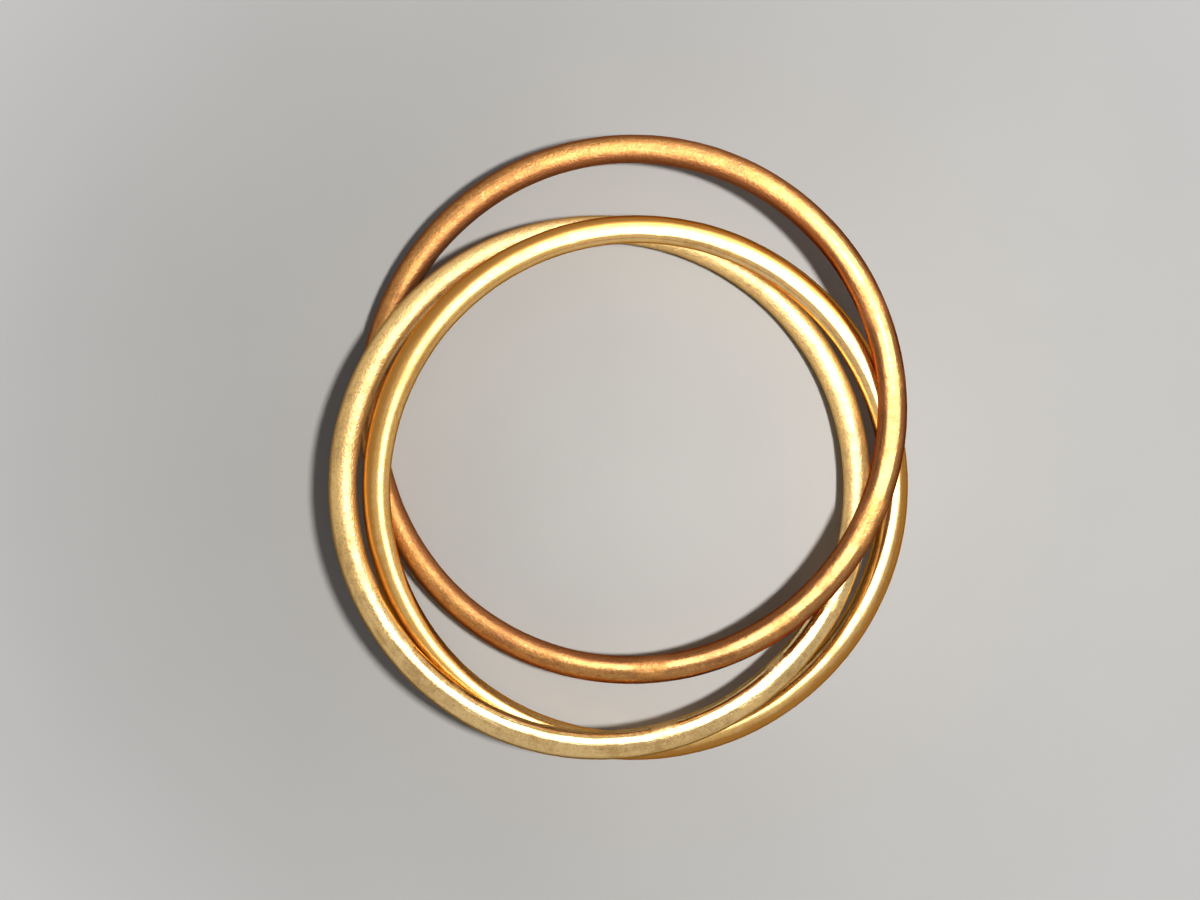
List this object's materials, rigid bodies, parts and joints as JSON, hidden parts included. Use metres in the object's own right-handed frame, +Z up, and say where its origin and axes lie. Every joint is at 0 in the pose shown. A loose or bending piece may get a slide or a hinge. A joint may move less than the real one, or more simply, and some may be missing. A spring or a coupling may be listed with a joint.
{
  "type": "metal ring disentanglement puzzle",
  "caption": "Linked closed rings of round metal rod, brass and copper coloured, lying in a shallow interleaved stack.",
  "frame": {"origin": "middle of the bounding box in plan, on the surface that the rings lie on", "axes": "+Z up, square to the rest surface; +Y towards the side where the copper ring stands out past the brass rings; +X towards the side where the copper ring lies on top of both brass rings"},
  "size_m": [0.0844, 0.092, 0.0103],
  "materials": {
    "satin_brass": "satin, fine grain",
    "polished_brass": "polished",
    "copper": "brown copper, half polished"
  },
  "bodies": {
    "outer_brass": {"outer_brass_ring": "satin_brass"},
    "inner_brass": {"inner_brass_ring": "polished_brass"},
    "copper": {"copper_ring": "copper"}
  },
  "joints": [
    {"name": "inner_brass_roll", "type": "hinge", "parent": "outer_brass", "child": "inner_brass", "pos_m": [0.00225, -0.00603, 0.00475], "axis": [0.043, -0.0581, 0.9974], "continuous": true},
    {"name": "copper_swing", "type": "hinge", "parent": "outer_brass", "child": "copper", "pos_m": [-0.03533, 0, 0.00589], "axis": [0.1682, -0.9143, 0.3684], "range_deg": [0, 90]}
  ]
}
